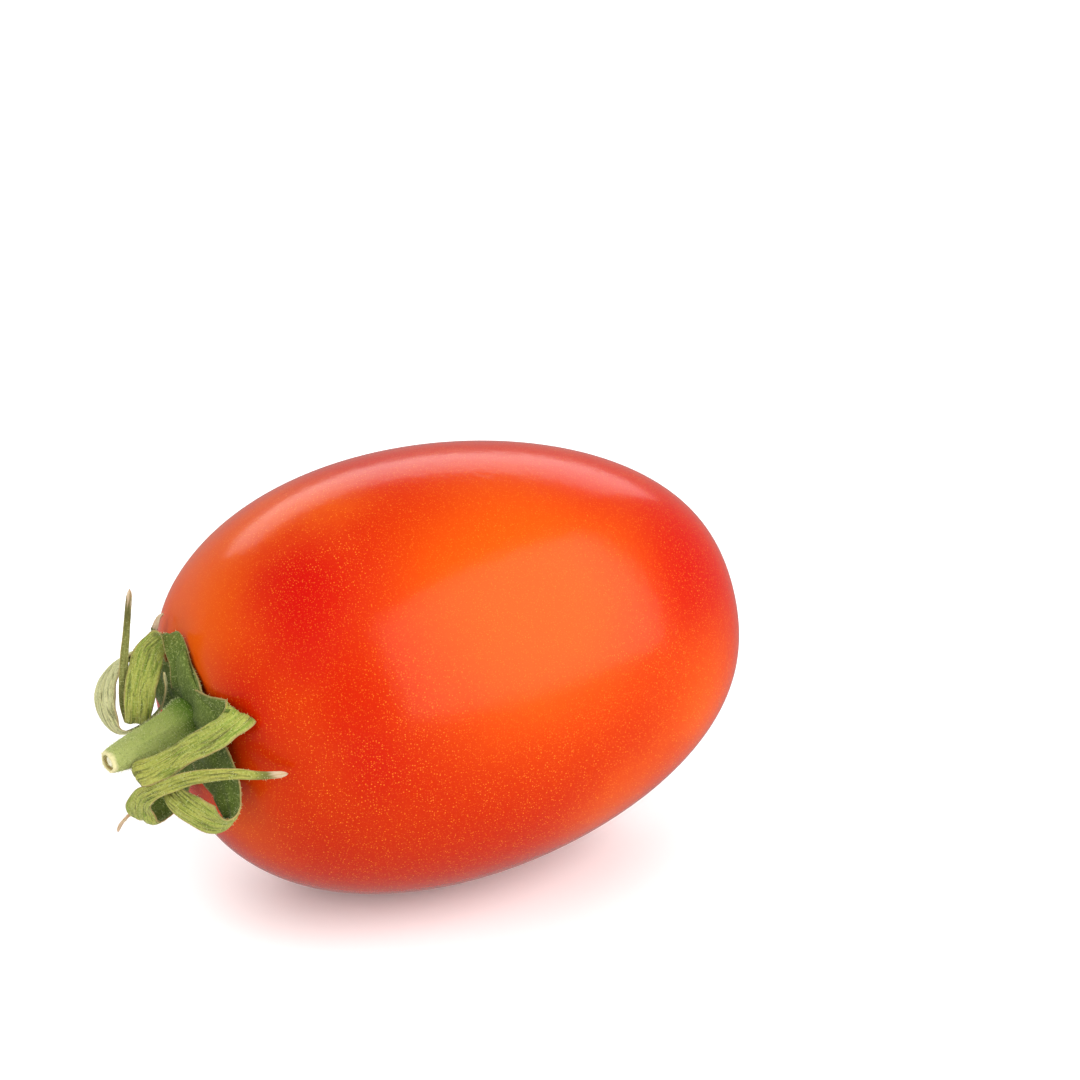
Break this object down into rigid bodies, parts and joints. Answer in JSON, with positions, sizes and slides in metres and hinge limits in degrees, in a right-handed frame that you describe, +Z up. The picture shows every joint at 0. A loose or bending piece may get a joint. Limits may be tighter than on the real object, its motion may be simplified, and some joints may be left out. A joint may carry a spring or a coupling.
{
  "type": "plum tomato",
  "caption": "Ripe plum tomato lying on its side, with its curled green calyx and a short cut stem.",
  "frame": {"origin": "on the small flat that the fruit rests on, straight below its belly", "axes": "+Z up, +X along the fruit from its stem end to its blossom end, -Y towards the side that the picture shows"},
  "size_m": [0.0805, 0.0521, 0.0519],
  "materials": {
    "fruit_skin": "smooth glossy orange-red skin with fine golden specks",
    "sepal": "matt, finely hairy green, paler and ribbed on the inner face",
    "stem": "matt, finely hairy light green with a pale cut end"
  },
  "bodies": {
    "root": {"fruit": "fruit_skin", "calyx": "sepal", "stem": "stem"}
  },
  "joints": []
}
